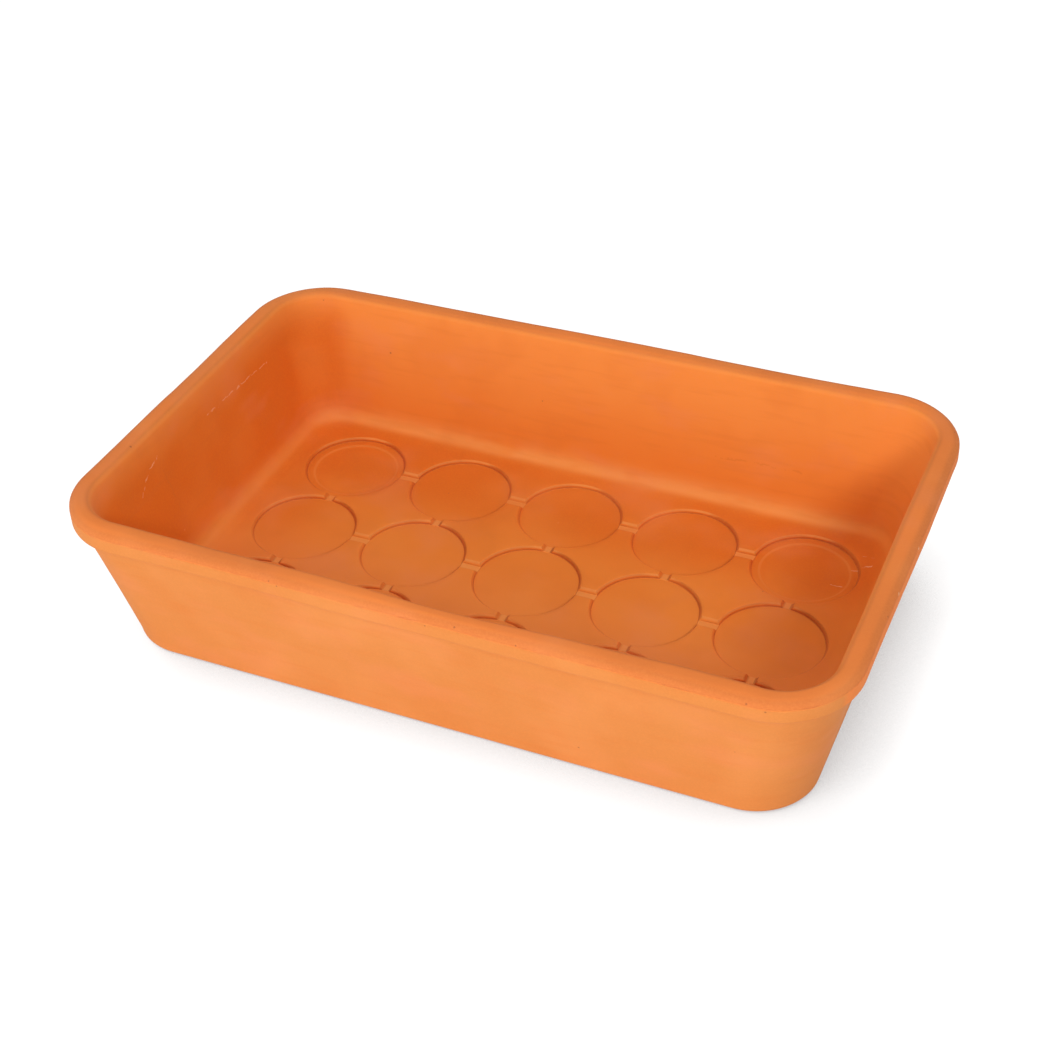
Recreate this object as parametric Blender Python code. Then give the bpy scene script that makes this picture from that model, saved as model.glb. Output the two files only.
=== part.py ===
# A fired clay seed tray: one thick-walled trough with sloping sides, a lip round its rim,
# and a floor stamped with rows of round pot seats joined by short drain channels.
# Metres, +Z up. The origin is under the middle of the base, +X runs along the tray's length.

import math

import bmesh
import bpy
from mathutils import Vector

# The tray as a whole, over the rim and at the foot
rim_length = 0.380
rim_width = 0.239
rim_corner_radius = 0.039
tray_height = 0.0825
base_length = 0.3425
base_width = 0.2035
base_corner_radius = 0.030
base_edge_radius = 0.003

# The shell; its inner corners open out from the floor up to the rim
wall_thickness = 0.0098
floor_thickness = 0.010
floor_corner_radius = 0.018
rim_inner_corner_radius = 0.0245
cove_radius = 0.010

# The lip round the rim
lip_depth = 0.0122
lip_overhang = 0.0043
lip_under_height = 0.005
lip_outer_radius = 0.0055
lip_inner_radius = 0.0035

# The pot seats stamped into the floor, as many as fit it, and the channels that join them
seat_diameter = 0.0552
least_seat_gap = 0.0024
seat_depth = 0.002
seat_slope = 0.0012
end_land = 0.0022
side_land = 0.0002
channel_width = 0.0065
channel_depth = 0.0014
channel_slope = 0.0008

# How far a cutter stands above the floor, and how far a channel reaches into each seat
cutter_rise = 0.001
channel_reach = 0.0035

# Limits on the round edges: the shares of the rim's top that its two edges may take, the least
# upright face left on the lip, and the least radius left in an inner corner
outer_round_share = 0.55
inner_round_share = 0.35
least_lip_face = 0.0008
least_corner_radius = 0.001

# Facets
corner_steps = 10
seat_steps = 40
round_steps = 4
cove_steps = 6
crease_angle = math.radians(40)

terracotta_colour = (0.76, 0.22, 0.055, 1.0)
terracotta_roughness = 0.85


def clear_scene():
    for item in list(bpy.data.objects):
        bpy.data.objects.remove(item, do_unlink=True)


def terracotta():
    material = bpy.data.materials.new("terracotta")
    material.use_nodes = True
    shader = material.node_tree.nodes["Principled BSDF"]
    shader.inputs["Base Color"].default_value = terracotta_colour
    shader.inputs["Roughness"].default_value = terracotta_roughness
    shader.inputs["Metallic"].default_value = 0.0
    material.diffuse_color = terracotta_colour
    return material


def rounded_outline(half_length, half_width, corner_radius, z):
    """Points of a rectangle with round corners, anticlockwise from +X, at the height z."""
    radius = max(min(corner_radius, half_length, half_width), least_corner_radius)
    centres = (
        (half_length - radius, half_width - radius),
        (radius - half_length, half_width - radius),
        (radius - half_length, radius - half_width),
        (half_length - radius, radius - half_width),
    )
    points = []
    for quarter, (x, y) in enumerate(centres):
        for step in range(corner_steps + 1):
            angle = (quarter + step / corner_steps) * math.pi / 2
            points.append(Vector((x + radius * math.cos(angle), y + radius * math.sin(angle), z)))
    return points


def outer_wall_at(z):
    """Half length, half width and corner radius of the outer wall's line at the height z."""
    share = z / (tray_height - lip_depth)
    top = (rim_length / 2 - lip_overhang, rim_width / 2 - lip_overhang, rim_corner_radius - lip_overhang)
    foot = (base_length / 2, base_width / 2, base_corner_radius)
    return [low + (high - low) * share for low, high in zip(foot, top)]


def outer_section(inset, z):
    half_length, half_width, corner = outer_wall_at(z)
    return rounded_outline(half_length - inset, half_width - inset, corner - inset, z)


def inner_wall_at(z):
    """Half length, half width and corner radius of the inner wall's line at the height z."""
    half_length, half_width, _ = outer_wall_at(z)
    share = (z - floor_thickness) / (tray_height - floor_thickness)
    corner = floor_corner_radius + (rim_inner_corner_radius - floor_corner_radius) * share
    return half_length - wall_thickness, half_width - wall_thickness, corner


def inner_section(inset, z):
    half_length, half_width, corner = inner_wall_at(z)
    return rounded_outline(half_length - inset, half_width - inset, corner - inset, z)


def rim_section(z):
    return rounded_outline(rim_length / 2, rim_width / 2, rim_corner_radius, z)


def section_across_rim(share, z):
    """Points that lie a share of the way in from the rim's outer edge to the inner wall's line."""
    return [outer.lerp(inner, share) for outer, inner in zip(rim_section(z), inner_section(0, z))]


def wall_slope():
    """The larger of the two inner walls' leans from the vertical, as an angle."""
    foot, top = inner_wall_at(0), inner_wall_at(tray_height)
    return math.atan2(max(top[0] - foot[0], top[1] - foot[1]), tray_height)


def cove_inset():
    """How far the cove carries the floor's flat in from the inner wall's line at the floor."""
    return cove_radius * math.tan((math.pi / 2 - wall_slope()) / 2)


def foot_sections():
    sections = []
    for step in range(round_steps + 1):
        angle = step / round_steps * math.pi / 2
        inset = base_edge_radius * (1 - math.sin(angle))
        sections.append(outer_section(inset, base_edge_radius * (1 - math.cos(angle))))
    return sections


def rim_roundings():
    """Radii of the rim's outer and inner edges, held within the rim's width and the lip's face,
    and that width."""
    half_length, half_width, _ = inner_wall_at(tray_height)
    rim_top = min(rim_length / 2 - half_length, rim_width / 2 - half_width)
    face = lip_depth - lip_under_height / 2 - least_lip_face
    outer = min(lip_outer_radius, rim_top * outer_round_share, face)
    inner = min(lip_inner_radius, rim_top * inner_round_share)
    return outer, inner, rim_top


def lip_sections():
    """The lip from the wall below it, out, over the rim and down to the inner wall."""
    lip_bottom = tray_height - lip_depth
    outer_radius, inner_radius, rim_top = rim_roundings()
    sections = []
    for step in range(round_steps + 1):
        swing = (1 - math.cos(step / round_steps * math.pi)) / 2
        z = lip_bottom + (step / round_steps - 0.5) * lip_under_height
        wall, rim = outer_section(0, z), rim_section(z)
        sections.append([low.lerp(high, swing) for low, high in zip(wall, rim)])
    for step in range(round_steps + 1):
        angle = step / round_steps * math.pi / 2
        inset = outer_radius * (1 - math.cos(angle))
        drop = outer_radius * (1 - math.sin(angle))
        sections.append(section_across_rim(inset / rim_top, tray_height - drop))
    for step in range(round_steps + 1):
        angle = (1 - step / round_steps) * math.pi / 2
        inset = rim_top - inner_radius * (1 - math.cos(angle))
        drop = inner_radius * (1 - math.sin(angle))
        sections.append(section_across_rim(inset / rim_top, tray_height - drop))
    return sections


def cove_sections():
    """The hollow curve from the inner wall down to the flat of the floor."""
    lean = wall_slope()
    sections = []
    for step in range(cove_steps + 1):
        angle = lean + (math.pi / 2 - lean) * step / cove_steps
        z = floor_thickness + cove_radius * (1 - math.sin(angle))
        from_flat = cove_radius * math.cos(angle)
        lean_out = (z - floor_thickness) * math.tan(lean)
        sections.append(inner_section(cove_inset() - from_flat + lean_out, z))
    return sections


def loft(name, sections):
    """One closed skin through the sections, with a flat face at each end."""
    mesh = bpy.data.meshes.new(name)
    skin = bmesh.new()
    rings = [[skin.verts.new(point) for point in section] for section in sections]
    for low, high in zip(rings, rings[1:]):
        for index in range(len(low)):
            after = (index + 1) % len(low)
            skin.faces.new((low[index], low[after], high[after], high[index]))
    skin.faces.new(list(reversed(rings[0])))
    skin.faces.new(rings[-1])
    bmesh.ops.recalc_face_normals(skin, faces=skin.faces)
    skin.to_mesh(mesh)
    skin.free()
    return mesh


def seats_along(room):
    """Seat centres spread evenly along a stretch of flat floor, as many as it holds."""
    count = int((room + least_seat_gap) / (seat_diameter + least_seat_gap))
    if count < 2:
        return [0.0]
    pitch = (room - seat_diameter) / (count - 1)
    return [pitch * (index - (count - 1) / 2) for index in range(count)]


def seat_centres():
    """The grid of seat centres, as rows of points, front row first."""
    half_length, half_width, _ = inner_wall_at(floor_thickness)
    columns = seats_along(2 * (half_length - cove_inset() - end_land))
    rows = seats_along(2 * (half_width - cove_inset() - side_land))
    return [[Vector((x, y, 0)) for x in columns] for y in rows]


def add_prism(skin, bottom, top):
    """A closed block between two outlines that have as many points."""
    low = [skin.verts.new(point) for point in bottom]
    high = [skin.verts.new(point) for point in top]
    for index in range(len(low)):
        after = (index + 1) % len(low)
        skin.faces.new((low[index], low[after], high[after], high[index]))
    skin.faces.new(list(reversed(low)))
    skin.faces.new(high)


def circle_outline(centre, radius, z):
    points = []
    for step in range(seat_steps):
        angle = 2 * math.pi * (step + 0.5) / seat_steps
        points.append(Vector((centre.x + radius * math.cos(angle), centre.y + radius * math.sin(angle), z)))
    return points


def bar_outline(start, end, half_width, z):
    along = (end - start).normalized()
    side = Vector((-along.y, along.x, 0)) * half_width
    points = (start - side, end - side, end + side, start + side)
    return [Vector((point.x, point.y, z)) for point in points]


def cutter_object(name, skin):
    mesh = bpy.data.meshes.new(name)
    bmesh.ops.recalc_face_normals(skin, faces=skin.faces)
    skin.to_mesh(mesh)
    skin.free()
    cutter = bpy.data.objects.new(name, mesh)
    bpy.context.collection.objects.link(cutter)
    cutter.hide_render = True
    cutter.display_type = "WIRE"
    return cutter


def seat_cutter():
    """Round plugs with sloping sides, one for each pot seat."""
    skin = bmesh.new()
    slope = seat_slope / seat_depth
    for row in seat_centres():
        for centre in row:
            bottom = circle_outline(centre, seat_diameter / 2 - seat_slope, floor_thickness - seat_depth)
            top_radius = seat_diameter / 2 + slope * cutter_rise
            add_prism(skin, bottom, circle_outline(centre, top_radius, floor_thickness + cutter_rise))
    return cutter_object("seat_cutter", skin)


def channel_cutter():
    """Short bars with sloping sides between neighbouring seats, a little shallower than the seats."""
    skin = bmesh.new()
    slope = channel_slope / channel_depth
    centres = seat_centres()
    links = [pair for row in centres for pair in zip(row, row[1:])]
    links += [pair for front, back in zip(centres, centres[1:]) for pair in zip(front, back)]
    for start, end in links:
        along = (end - start).normalized()
        reach = along * (seat_diameter / 2 - channel_reach)
        near, far = start + reach, end - reach
        bottom = bar_outline(near, far, channel_width / 2 - channel_slope, floor_thickness - channel_depth)
        top_half = channel_width / 2 + slope * cutter_rise
        add_prism(skin, bottom, bar_outline(near, far, top_half, floor_thickness + cutter_rise))
    return cutter_object("channel_cutter", skin)


def cut(piece, cutter):
    modifier = piece.modifiers.new(cutter.name, "BOOLEAN")
    modifier.operation = "DIFFERENCE"
    modifier.solver = "EXACT"
    modifier.object = cutter


def seed_tray():
    sections = foot_sections() + lip_sections() + cove_sections()
    mesh = loft("seed_tray", sections)
    mesh.materials.append(terracotta())
    mesh.shade_smooth()
    mesh.set_sharp_from_angle(angle=crease_angle)
    tray = bpy.data.objects.new("seed_tray", mesh)
    bpy.context.collection.objects.link(tray)
    cut(tray, seat_cutter())
    cut(tray, channel_cutter())
    return tray


def main():
    clear_scene()
    seed_tray()


main()
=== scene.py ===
import math

import bmesh
import bpy
from mathutils import Matrix, Vector


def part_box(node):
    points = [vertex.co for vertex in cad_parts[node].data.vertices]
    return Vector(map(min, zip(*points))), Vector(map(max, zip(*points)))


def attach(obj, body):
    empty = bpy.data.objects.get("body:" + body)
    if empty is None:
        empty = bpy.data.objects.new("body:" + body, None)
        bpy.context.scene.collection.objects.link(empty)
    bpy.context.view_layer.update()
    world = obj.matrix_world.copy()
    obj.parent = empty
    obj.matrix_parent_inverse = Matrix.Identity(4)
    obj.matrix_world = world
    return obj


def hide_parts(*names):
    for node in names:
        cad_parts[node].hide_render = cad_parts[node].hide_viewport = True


# A pressed and fired clay seed tray on a pale floor, in plain studio light.
# Metres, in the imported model's own frame: +X along the tray, +Z up.

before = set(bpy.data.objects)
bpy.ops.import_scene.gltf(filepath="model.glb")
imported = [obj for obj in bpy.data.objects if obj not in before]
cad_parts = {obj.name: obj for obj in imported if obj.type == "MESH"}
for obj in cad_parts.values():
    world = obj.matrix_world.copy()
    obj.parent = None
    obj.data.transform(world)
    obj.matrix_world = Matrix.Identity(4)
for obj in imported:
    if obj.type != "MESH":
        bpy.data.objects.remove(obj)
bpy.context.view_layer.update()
trayLow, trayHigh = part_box("seed_tray")

# the tray's shape; its overall size comes from the frame
traySizes = {
    "length": trayHigh.x - trayLow.x,
    "width": trayHigh.y - trayLow.y,
    "height": trayHigh.z - trayLow.z,
    "rimCorner": 0.039,
    "footLength": 0.3425,
    "footWidth": 0.2035,
    "footCorner": 0.030,
    "footEdge": 0.003,
    "wall": 0.0098,
    "floor": 0.010,
    "floorCorner": 0.018,      # the inner corners open out from the floor up to the rim
    "rimInnerCorner": 0.0245,
    "cove": 0.010,
    "lipDepth": 0.0122,
    "lipOverhang": 0.0043,
    "lipUnder": 0.005,
    "lipOuterRound": 0.0055,   # how far the rounding reaches in from the rim's outer edge
    "lipOuterDrop": 0.0040,    # and how far down
    "lipInnerRound": 0.0035,
    "partingDrop": 0.0036,     # the mould's joint line on the lip, below the rim's top
}
jointHeight = traySizes["height"] - traySizes["partingDrop"]

# round pot seats stamped in the floor, with short channels between them
seatSizes = {
    "columns": 5,
    "rows": 3,
    "diameter": 0.0552,
    "pitchAlong": 0.0626,
    "pitchAcross": 0.0570,
    "shiftAlong": 0.0011,      # the stamp sits a little off the tray's middle
    "shiftAcross": 0.0009,
    "depth": 0.0023,
    "innerRing": 0.0226,       # the two back corner seats have a second, fainter ring
    "innerRingDepth": 0.00045,
    # that ring's steps: where each starts and ends, in from its line, and its share of the depth
    "ringSteps": ((-0.0003, 0.0003, 1.0), (0.0007, 0.0013, 0.45)),
    "channelWidth": 0.0065,
    "channelDepth": 0.0020,
    "channelRound": 0.0002,    # how far outside its width a channel's side starts
    "channelSlope": 0.0014,    # and how far inside it the side ends
    "channelBack": 0.0010,     # the channels along the tray lie this far behind the seats' middles
    "edgeReach": 0.00015,      # how far outside its circle a seat's edge starts to round over
}

# how finely each stretch of the tray is meshed
meshSteps = {
    "foot": 5,
    "wall": 20,
    "hollow": 10,
    "round": 8,
    "parting": 0.00022,        # spacing of the rings at the joint line
    "partingRings": 3,         # how many of them lie on each side of it
    "between": (0.33, 0.66),   # rings on a straight stretch of the lip or the rim
    "cove": 12,
    "cornerHalf": 10,
    "cellSpread": 5,
    "cornerSpread": 3,
    "underside": (0.0, 0.2, 0.55, 0.86),
    "lines": (0.001, 0.0019, 0.00245, 0.00285, 0.00325, 0.0037, 0.005),
    "seatRings": (0.0, 0.006, 0.013, 0.019, 0.0213, 0.0219, 0.0225, 0.0231, 0.0246,
                  0.0256, 0.02585, 0.0260, 0.02615, 0.0263, 0.02638, 0.02644, 0.0265,
                  0.02656, 0.02665, 0.02685, 0.0271, 0.02735, 0.02755, 0.02765),
    "landRings": (0.22, 0.55, 1.0),
}

# Distances within which two points, lengths or heights count as the same
weldDistance = 2e-6
sliverDistance = 1e-7
lengthSlack = 1e-9
levelSlack = 1e-6


def outerWallAt(z):
    share = z / (traySizes["height"] - traySizes["lipDepth"])
    over = traySizes["lipOverhang"]
    top = (traySizes["length"] / 2 - over, traySizes["width"] / 2 - over, traySizes["rimCorner"] - over)
    foot = (traySizes["footLength"] / 2, traySizes["footWidth"] / 2, traySizes["footCorner"])
    return [low + (high - low) * share for low, high in zip(foot, top)]


def outerRing(inset, z):
    halfLength, halfWidth, corner = outerWallAt(z)
    return (halfLength - inset, halfWidth - inset, corner - inset, z)


def innerRing(inset, z):
    halfLength, halfWidth, _ = outerWallAt(z)
    inward = traySizes["wall"] + inset
    share = (z - traySizes["floor"]) / (traySizes["height"] - traySizes["floor"])
    corner = traySizes["floorCorner"] + (traySizes["rimInnerCorner"] - traySizes["floorCorner"]) * share
    return (halfLength - inward, halfWidth - inward, corner - inset, z)


def blendRings(low, high, share):
    return tuple(a + (b - a) * share for a, b in zip(low, high))


# A ring across the rim: inset 0 is its outer edge, and its full width the inner wall's line
def rimRing(inset, z):
    rim = (traySizes["length"] / 2, traySizes["width"] / 2, traySizes["rimCorner"], z)
    return blendRings(rim, innerRing(0, z), inset / rimWidth())


def rimWidth():
    return traySizes["length"] / 2 - innerRing(0, traySizes["height"])[0]


def wallLean():
    foot, top = outerWallAt(0), outerWallAt(traySizes["height"])
    return math.atan2(max(top[0] - foot[0], top[1] - foot[1]), traySizes["height"])


def coveInset():
    return traySizes["cove"] * math.tan((math.pi / 2 - wallLean()) / 2)


def flatRing():
    return innerRing(coveInset(), traySizes["floor"])


def underRings():
    edge = outerRing(traySizes["footEdge"], 0)
    return [(edge[0] * share, edge[1] * share, edge[2] * share, 0) for share in meshSteps["underside"]]


def footRings():
    rings, radius = [], traySizes["footEdge"]
    for step in range(meshSteps["foot"] + 1):
        angle = step / meshSteps["foot"] * math.pi / 2
        rings.append(outerRing(radius * (1 - math.sin(angle)), radius * (1 - math.cos(angle))))
    return rings


def outerWallRings(top):
    bottom = traySizes["footEdge"]
    steps = meshSteps["wall"]
    return [outerRing(0, bottom + (top - bottom) * step / steps) for step in range(1, steps)]


def lipRings():
    height, under = traySizes["height"], traySizes["lipUnder"]
    lipBottom = height - traySizes["lipDepth"]
    rings = []
    for step in range(meshSteps["hollow"] + 1):     # the soft hollow under the lip
        share = step / meshSteps["hollow"]
        swing = (1 - math.cos(share * math.pi)) / 2
        z = lipBottom + (share - 0.5) * under
        rings.append(blendRings(outerRing(0, z), rimRing(0, z), swing))
    reach, drop = traySizes["lipOuterRound"], traySizes["lipOuterDrop"]
    heights = [lipBottom + under / 2, height - drop]
    face = heights[1] - heights[0]
    outline = [rimRing(0, heights[0] + face * share) for share in meshSteps["between"]]
    for step in range(meshSteps["round"] * 2 + 1):
        angle = step / (meshSteps["round"] * 2) * math.pi / 2
        outline.append(rimRing(reach * (1 - math.cos(angle)), height - drop * (1 - math.sin(angle))))
    return rings + withPartingRings(outline)


def withPartingRings(outline):
    middle = jointHeight
    spacing, count = meshSteps["parting"], meshSteps["partingRings"]
    near = [ring for ring in outline if abs(ring[3] - middle) > spacing * (count + 0.5)]
    for step in range(-count, count + 1):
        z = middle + spacing * step
        for low, high in zip(outline, outline[1:]):
            if low[3] <= z < high[3]:
                near.append(blendRings(low, high, (z - low[3]) / (high[3] - low[3])))
    return sorted(near, key=lambda ring: (ring[3], -ring[0]))


def innerRings():
    height, radius = traySizes["height"], traySizes["lipInnerRound"]
    lean, cove, floor = wallLean(), traySizes["cove"], traySizes["floor"]
    rimTop = rimRing(traySizes["lipOuterRound"], height)
    edgeTop = rimRing(rimWidth() - radius, height)
    rings = [blendRings(rimTop, edgeTop, share) for share in meshSteps["between"]]
    for step in range(meshSteps["round"] + 1):
        angle = (1 - step / meshSteps["round"]) * math.pi / 2
        inset = rimWidth() - radius * (1 - math.cos(angle))
        rings.append(rimRing(inset, height - radius * (1 - math.sin(angle))))
    coveTop = floor + cove * (1 - math.sin(lean))
    wallTop = height - radius
    for step in range(1, meshSteps["wall"]):
        rings.append(innerRing(0, wallTop + (coveTop - wallTop) * step / meshSteps["wall"]))
    for step in range(meshSteps["cove"] + 1):
        angle = lean + (math.pi / 2 - lean) * step / meshSteps["cove"]
        z = floor + cove * (1 - math.sin(angle))
        inset = coveInset() - cove * math.cos(angle) + (z - floor) * math.tan(lean)
        rings.append(innerRing(inset, z))
    return rings


def trayRings():
    lipStart = traySizes["height"] - traySizes["lipDepth"] - traySizes["lipUnder"] / 2
    return underRings() + footRings() + outerWallRings(lipStart) + lipRings() + innerRings()


# Seat centres along one direction, and the edges of the cells round them, out to the floor's edge
def cellsAlong(count, pitch, shift, halfRoom):
    centres = [(index - (count - 1) / 2) * pitch + shift for index in range(count)]
    inner = [centre + pitch / 2 for centre in centres[:-1]]
    return centres, [-halfRoom, *inner, halfRoom]


# Half a side of a cell, from its middle to the cell's corner, as points and each point's way from
# the seat's centre. Lines that a channel may follow run straight across to the seat's edge.
def halfSide(centre, out, toward, reachOut, reachToward, corner):
    close = meshSteps["lines"]
    straight = reachToward - corner
    steps = meshSteps["cornerSpread"] if corner else meshSteps["cellSpread"]
    spread = [close[-1] + (straight - close[-1]) * step / steps for step in range(1, steps + 1)]
    points = [centre + out * reachOut + toward * line for line in (0.0, *close, *spread)]
    if corner:
        middle = centre + out * (reachOut - corner) + toward * straight
        for step in range(1, meshSteps["cornerHalf"] + 1):
            angle = step / meshSteps["cornerHalf"] * math.pi / 4
            points.append(middle + (out * math.cos(angle) + toward * math.sin(angle)) * corner)
    toCorner = points[-1] - centre
    lastAngle = math.atan2(toCorner.dot(toward), toCorner.dot(out))
    closeAngle = math.asin(close[-1] / (seatSizes["diameter"] / 2))
    lengths = [0.0]
    for before, after in zip(points, points[1:]):
        lengths.append(lengths[-1] + (after - before).length)
    side = []
    for point, length in zip(points, lengths):
        if length <= close[-1] + lengthSlack:
            angle = math.asin(length / (seatSizes["diameter"] / 2))
        else:
            share = (length - close[-1]) / (lengths[-1] - close[-1])
            angle = closeAngle + (lastAngle - closeAngle) * share
        side.append((point, out * math.cos(angle) + toward * math.sin(angle)))
    return side


# A cell's boundary, anticlockwise, with each point's way from the seat's centre
def cellBoundary(column, row):
    halfLength, halfWidth, corner, floor = flatRing()
    centresX, edgesX = cellsAlong(
        seatSizes["columns"], seatSizes["pitchAlong"], seatSizes["shiftAlong"], halfLength)
    centresY, edgesY = cellsAlong(
        seatSizes["rows"], seatSizes["pitchAcross"], seatSizes["shiftAcross"], halfWidth)
    centre = Vector((centresX[column], centresY[row], floor))
    boundary = []
    for sideX, sideY in ((1, 1), (-1, 1), (-1, -1), (1, -1)):
        endX = column == (len(centresX) - 1 if sideX > 0 else 0)
        endY = row == (len(centresY) - 1 if sideY > 0 else 0)
        reachX = abs(edgesX[column + (sideX > 0)] - centre.x)
        reachY = abs(edgesY[row + (sideY > 0)] - centre.y)
        wayX, wayY = Vector((sideX, 0, 0)), Vector((0, sideY, 0))
        rounding = corner if endX and endY else 0.0
        alongY = halfSide(centre, wayX, wayY, reachX, reachY, rounding)
        alongX = halfSide(centre, wayY, wayX, reachY, reachX, rounding)
        leaving, arriving = (alongY, alongX) if sideX * sideY > 0 else (alongX, alongY)
        boundary += leaving + arriving[-2:0:-1]
    return centre, boundary


def stitchRings(skin, rings):
    for low, high in zip(rings, rings[1:]):
        for index in range(len(low)):
            after = (index + 1) % len(low)
            skin.faces.new((low[index], low[after], high[after], high[index]))


def addRing(skin, points, inside):
    layer = skin.verts.layers.float["inside"]
    ring = [skin.verts.new(point) for point in points]
    for vertex in ring:
        vertex[layer] = inside
    return ring


def addCell(skin, column, row):
    centre, boundary = cellBoundary(column, row)
    edge = seatSizes["diameter"] / 2 + seatSizes["edgeReach"]
    rings = []
    for radius in meshSteps["seatRings"]:
        rings.append(addRing(skin, [centre + way * radius for _, way in boundary], 1))
    for share in meshSteps["landRings"]:
        points = [(centre + way * edge).lerp(point, share) for point, way in boundary]
        rings.append(addRing(skin, points, 1))
    stitchRings(skin, rings)


# The floor's outline, point by point as the cells meet it
def floorOutline():
    halfLength, halfWidth, corner, _ = flatRing()
    found = {}
    for column in range(seatSizes["columns"]):
        for row in range(seatSizes["rows"]):
            for point, _ in cellBoundary(column, row)[1]:
                pastX = max(abs(point.x) - (halfLength - corner), 0)
                pastY = max(abs(point.y) - (halfWidth - corner), 0)
                if abs(math.hypot(pastX, pastY) - corner) < sliverDistance:
                    found[(round(point.x, 7), round(point.y, 7))] = point
    return sorted(found.values(), key=lambda point: math.atan2(point.y, point.x))


# One ring of the shell: the floor's outline carried to the ring's own length, width and corner
def ringPoints(outline, ring):
    flatLength, flatWidth, flatCorner, _ = flatRing()
    halfLength, halfWidth, corner, z = ring
    points = []
    for point in outline:
        alongX = max(-1, min(1, point.x / (flatLength - flatCorner)))
        alongY = max(-1, min(1, point.y / (flatWidth - flatCorner)))
        armX = (point.x - alongX * (flatLength - flatCorner)) / flatCorner
        armY = (point.y - alongY * (flatWidth - flatCorner)) / flatCorner
        points.append(Vector((
            alongX * (halfLength - corner) + armX * corner,
            alongY * (halfWidth - corner) + armY * corner,
            z,
        )))
    return points


# 0 on the outside of the tray, 1 on the inside, and in between across the rim
def insideShare(ring):
    if ring[3] == 0:
        return 0.0
    return max(0.0, min(1.0, (outerWallAt(ring[3])[0] - ring[0]) / traySizes["wall"]))


def newObject(name, data):
    thing = bpy.data.objects.new(name, data)
    bpy.context.scene.collection.objects.link(thing)
    return thing


def plainTray():
    skin = bmesh.new()
    skin.verts.layers.float.new("inside")
    outline = floorOutline()
    shell = [addRing(skin, ringPoints(outline, ring), insideShare(ring)) for ring in trayRings()]
    stitchRings(skin, shell)
    for column in range(seatSizes["columns"]):
        for row in range(seatSizes["rows"]):
            addCell(skin, column, row)
    bmesh.ops.remove_doubles(skin, verts=skin.verts, dist=weldDistance)
    bmesh.ops.dissolve_degenerate(skin, edges=skin.edges, dist=sliverDistance)
    bmesh.ops.recalc_face_normals(skin, faces=skin.faces)
    openEdges = sum(1 for edge in skin.edges if not edge.is_manifold)
    mesh = bpy.data.meshes.new("roughTray")
    skin.to_mesh(mesh)
    skin.free()
    mesh.shade_smooth()
    tray = newObject("roughTray", mesh)
    print("tray mesh:", len(mesh.vertices), "points,", len(mesh.polygons), "faces, open edges:", openEdges)
    return tray


def addNode(tree, kind, **settings):
    node = tree.nodes.new(kind)
    for name, value in settings.items():
        setattr(node, name, value)
    return node


def feed(tree, socket, value):
    if isinstance(value, bpy.types.NodeSocket):
        tree.links.new(value, socket)
    else:
        socket.default_value = value


# A sum, product or maximum of many values takes a node for each further one
def maths(tree, operation, *values):
    if operation in ("ADD", "MULTIPLY", "MAXIMUM") and len(values) > 2:
        values = (maths(tree, operation, *values[:-1]), values[-1])
    node = addNode(tree, "ShaderNodeMath", operation=operation)
    for socket, value in zip(node.inputs, values):
        feed(tree, socket, value)
    return node.outputs[0]


def vectorMaths(tree, operation, *values):
    node = addNode(tree, "ShaderNodeVectorMath", operation=operation)
    for socket, value in zip(node.inputs, values):
        feed(tree, socket, value)
    return node.outputs["Value"] if operation in ("LENGTH", "DOT_PRODUCT") else node.outputs["Vector"]


def times(tree, *values):
    return maths(tree, "MULTIPLY", *values)


def plus(tree, *values):
    return maths(tree, "ADD", *values)


def minus(tree, value, taken):
    return maths(tree, "SUBTRACT", value, taken)


def split(tree, vector):
    node = addNode(tree, "ShaderNodeSeparateXYZ")
    tree.links.new(vector, node.inputs[0])
    return node.outputs


def scaled(tree, vector, amount):
    node = addNode(tree, "ShaderNodeVectorMath", operation="SCALE")
    tree.links.new(vector, node.inputs[0])
    feed(tree, node.inputs["Scale"], amount)
    return node.outputs[0]


def remap(tree, value, low, high, outLow=0.0, outHigh=1.0, shape="SMOOTHSTEP"):
    node = addNode(tree, "ShaderNodeMapRange", interpolation_type=shape)
    for socket, given in zip(node.inputs, (value, low, high, outLow, outHigh)):
        feed(tree, socket, given)
    return node.outputs["Result"]


def noise(tree, vector, size, seed, detail=2.0, roughness=0.5):
    node = addNode(tree, "ShaderNodeTexNoise", noise_dimensions="3D")
    feed(tree, node.inputs["Vector"], vectorMaths(tree, "ADD", vector, seed))
    feed(tree, node.inputs["Scale"], maths(tree, "DIVIDE", 1.0, size))
    node.inputs["Detail"].default_value = detail
    node.inputs["Roughness"].default_value = roughness
    return node.outputs["Fac"]


# A node group with named sockets, the values it is given and the sockets that its results go to
def newGroup(name, kind, inputs, outputs):
    tree = bpy.data.node_groups.new(name, kind)
    for way, sockets in (("INPUT", inputs), ("OUTPUT", outputs)):
        for label, socketKind in sockets:
            tree.interface.new_socket(label, in_out=way, socket_type=socketKind)
    given = addNode(tree, "NodeGroupInput").outputs
    result = addNode(tree, "NodeGroupOutput").inputs
    return tree, given, result


def floatSockets(*labels):
    return [(label, "NodeSocketFloat") for label in labels]


def endTree(tree, geometry, given, result):
    realize = addNode(tree, "GeometryNodeRealizeInstances")
    finish = addNode(tree, "GeometryNodeSetMaterial")
    tree.links.new(geometry, realize.inputs["Geometry"])
    tree.links.new(realize.outputs["Geometry"], finish.inputs["Geometry"])
    tree.links.new(given["Finish"], finish.inputs["Material"])
    tree.links.new(finish.outputs["Geometry"], result["Geometry"])


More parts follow.
